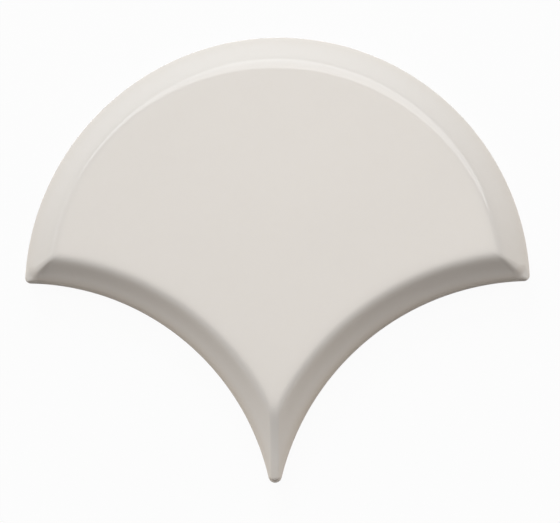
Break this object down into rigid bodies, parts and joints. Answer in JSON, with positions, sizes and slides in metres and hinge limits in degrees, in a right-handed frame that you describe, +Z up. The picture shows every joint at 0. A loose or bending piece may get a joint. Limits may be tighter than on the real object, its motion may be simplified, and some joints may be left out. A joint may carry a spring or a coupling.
{
  "type": "fish scale tile",
  "caption": "Glazed ceramic wall tile shaped like a fish scale: a round dome over two scallops that meet in a point, with a soft bevel around its flat face.",
  "frame": {"origin": "on the plane that the keyed back rests on, under the middle of the outline's box", "axes": "+Z up out of the glazed face, +Y towards the top of the dome, so the point lies along -Y, and +X to the right seen from the face"},
  "size_m": [0.1494, 0.1316, 0.009],
  "materials": {
    "glaze": "gloss"
  },
  "bodies": {
    "root": {"fish_scale_tile": "glaze"}
  },
  "joints": []
}
